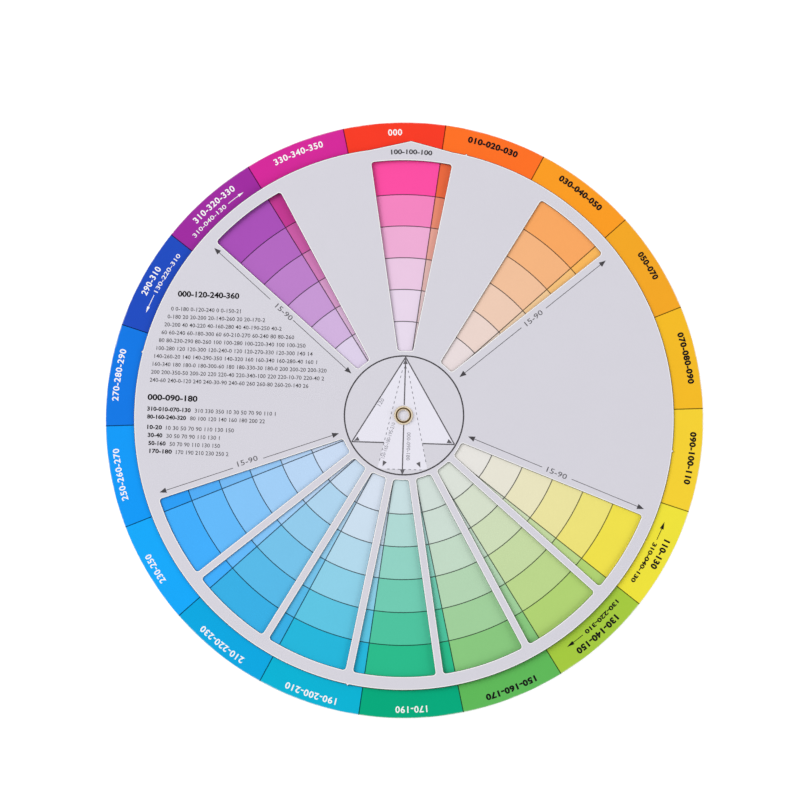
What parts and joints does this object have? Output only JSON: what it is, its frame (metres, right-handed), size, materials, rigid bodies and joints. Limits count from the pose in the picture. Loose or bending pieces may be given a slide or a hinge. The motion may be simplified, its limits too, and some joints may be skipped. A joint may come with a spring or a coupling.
{
  "type": "colour mixing wheel",
  "caption": "Round printed card disc between two die-cut card dials with hue windows and a pointer, held by a central brass eyelet so that each dial turns on its own.",
  "frame": {"origin": "on the eyelet's axis, at the lowest point of the part as it lies with its front up", "axes": "+Z out of the printed front, +Y towards the top of the print, +X to its right"},
  "size_m": [0.235, 0.235, 0.0042],
  "materials": {
    "base_card": "white coated board, printed with hue sectors in satin process inks",
    "front_dial_card": "white coated board, printed pale cool grey, satin",
    "rear_dial_card": "white coated board, printed pale cool grey, satin",
    "eyelet_brass": "bright pressed sheet brass",
    "washer_brass": "satin stamped sheet brass"
  },
  "bodies": {
    "base": {"base_disc": "base_card", "eyelet": "eyelet_brass", "washer": "washer_brass"},
    "front_dial": {"front_dial": "front_dial_card"},
    "rear_dial": {"rear_dial": "rear_dial_card"}
  },
  "joints": [
    {"name": "front_dial_spin", "type": "hinge", "parent": "base", "child": "front_dial", "pos_m": [0, 0, 0.00293], "axis": [0, 0, 1], "continuous": true},
    {"name": "rear_dial_spin", "type": "hinge", "parent": "base", "child": "rear_dial", "pos_m": [0, 0, 0.00147], "axis": [0, 0, 1], "continuous": true}
  ]
}
